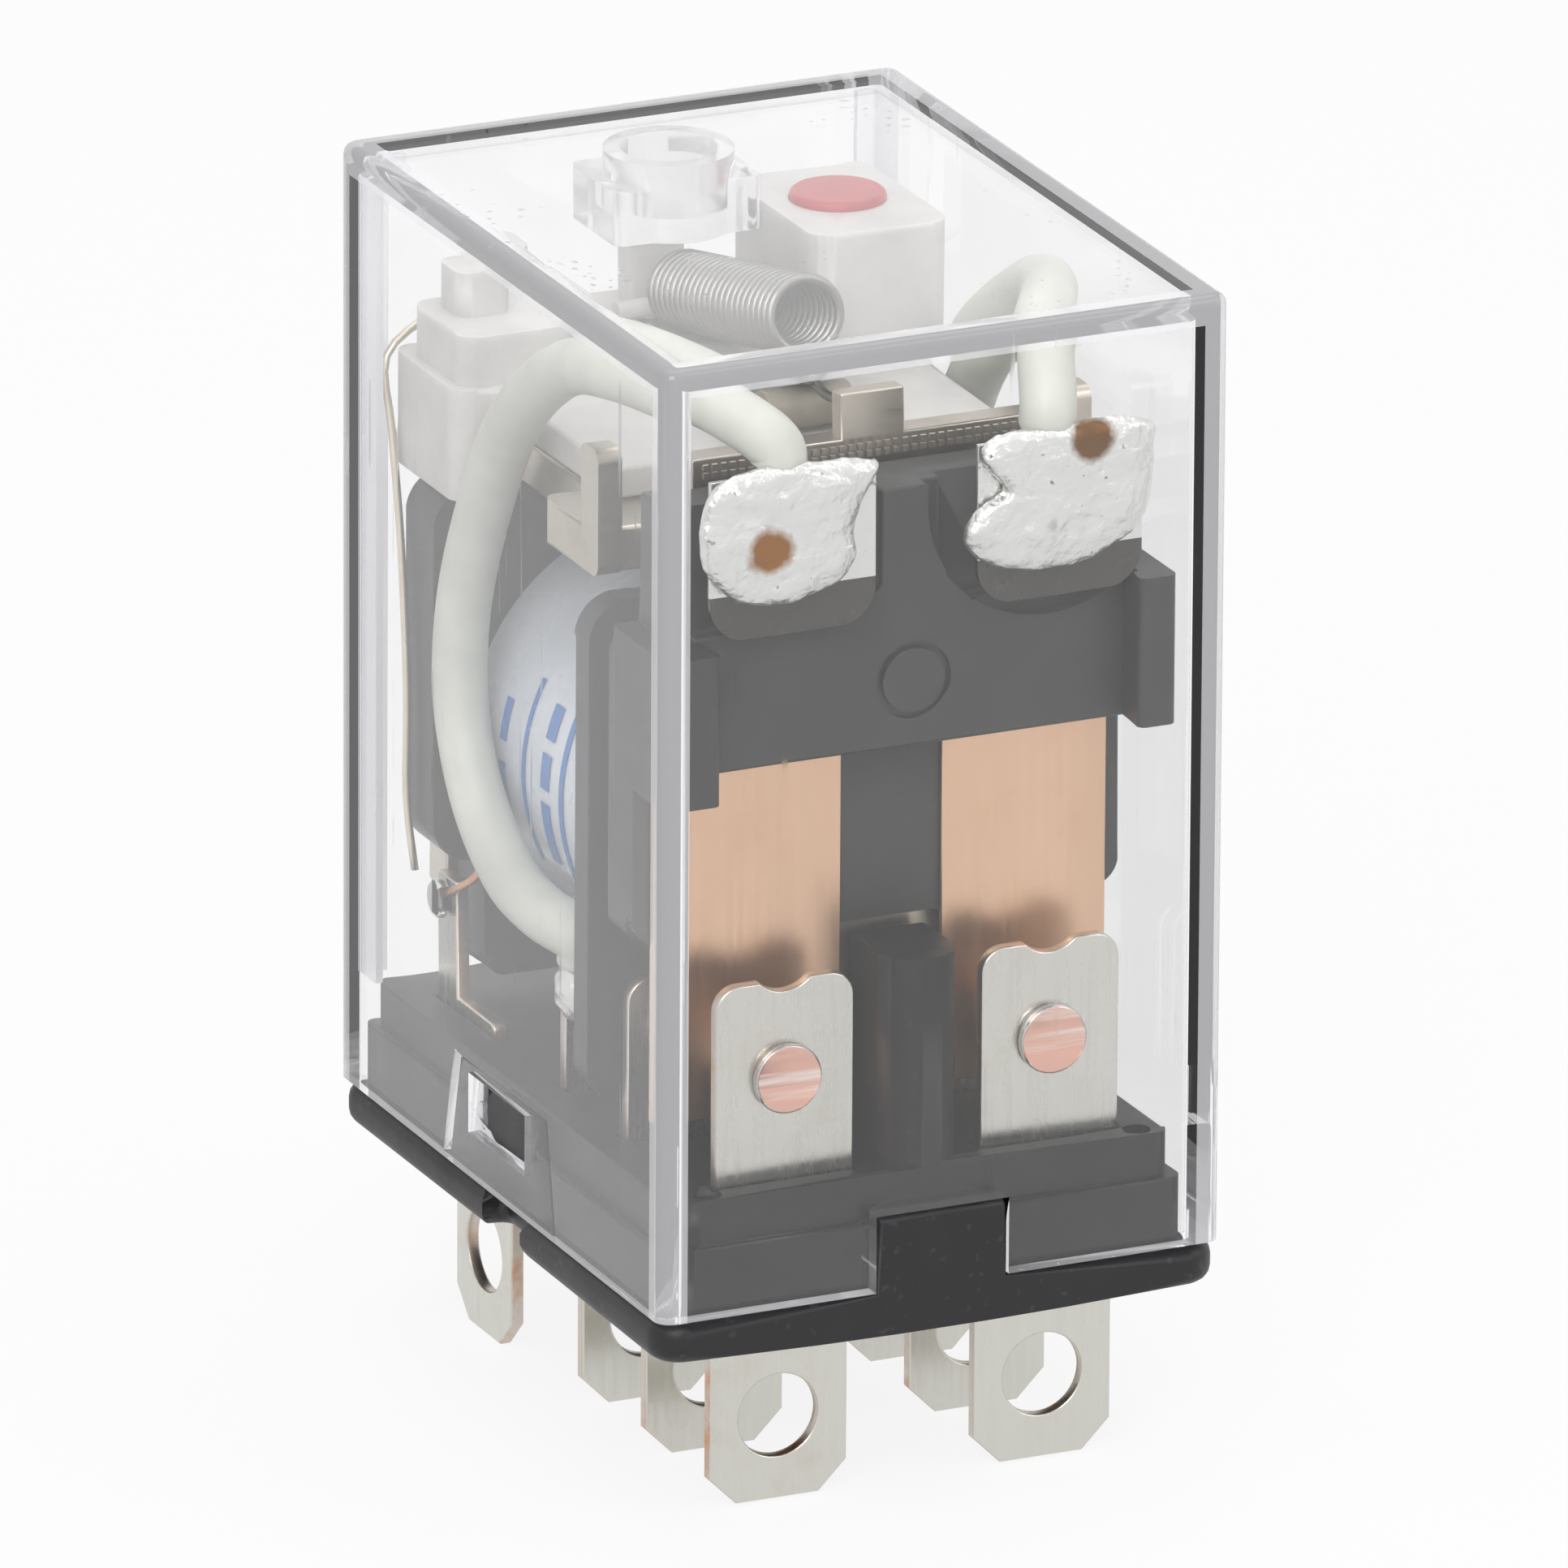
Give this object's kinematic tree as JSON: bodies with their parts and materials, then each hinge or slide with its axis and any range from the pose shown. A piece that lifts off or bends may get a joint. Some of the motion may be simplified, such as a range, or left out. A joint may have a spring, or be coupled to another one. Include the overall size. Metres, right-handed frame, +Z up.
{
  "type": "plug-in relay",
  "caption": "Two-pole plug-in power relay with a clear cover, eight blade terminals and a red indicator lens.",
  "frame": {"origin": "centre of the base's seating face, the flat underside that the blades come out of", "axes": "+Z up out of the seating face, +X to the right across the two poles, -Y towards the contact side"},
  "size_m": [0.0212, 0.0276, 0.0424],
  "materials": {
    "base_plastic": "fine matte",
    "clear_cover": "gloss, clear",
    "plated_terminal": "tin plated, satin",
    "contact_metal": "bright",
    "bobbin_plastic": "matte",
    "copper_wire": "enamelled",
    "coil_tape": "semi gloss film",
    "plated_steel": "nickel plated",
    "solder": "bright, uneven",
    "carrier_plastic": "matte",
    "spring_copper": "satin rolled",
    "spring_steel": "bright drawn wire",
    "lead_sleeve": "satin",
    "milky_plastic": "translucent, satin",
    "red_lens": "gloss, translucent",
    "lamp_glass": "gloss",
    "resistor_body": "satin"
  },
  "bodies": {
    "root": {"base": "base_plastic", "cover": "clear_cover", "nc_terminal_left": "plated_terminal", "nc_terminal_right": "plated_terminal", "no_terminal_left": "plated_terminal", "no_terminal_right": "plated_terminal", "com_terminal_left": "plated_terminal", "com_terminal_right": "plated_terminal", "coil_terminal_left": "plated_terminal", "coil_terminal_right": "plated_terminal", "nc_contact_left": "contact_metal", "nc_contact_right": "contact_metal", "no_contact_left": "contact_metal", "no_contact_right": "contact_metal", "bobbin": "bobbin_plastic", "coil_winding": "copper_wire", "coil_tape": "coil_tape", "core": "plated_steel", "shading_ring": "copper_wire", "yoke": "plated_steel", "coil_wire_left": "copper_wire", "coil_wire_right": "copper_wire", "coil_solder_left": "solder", "coil_solder_right": "solder", "return_spring": "spring_steel", "lead_left": "lead_sleeve", "lead_right": "lead_sleeve", "com_solder_left": "solder", "com_solder_right": "solder", "top_housing": "milky_plastic", "lamp_holder": "clear_cover", "lamp": "lamp_glass", "red_lens": "red_lens", "series_resistor": "resistor_body", "lamp_wire_left": "plated_steel", "lamp_wire_right": "plated_steel"},
    "rocker": {"armature": "plated_steel", "contact_carrier": "carrier_plastic", "moving_spring_left": "spring_copper", "moving_spring_right": "spring_copper", "moving_contact_left": "contact_metal", "moving_contact_right": "contact_metal", "tab_solder_left": "solder", "tab_solder_right": "solder"}
  },
  "joints": [
    {"name": "armature_rock", "type": "hinge", "parent": "root", "child": "rocker", "pos_m": [0, -0.0062, 0.0276], "axis": [1, 0, 0], "range_deg": [0, 2.7], "stiffness_Nm_per_rad": 0.03, "springref_deg": -2.86, "deforming": ["return_spring", "lead_left", "lead_right"]}
  ]
}
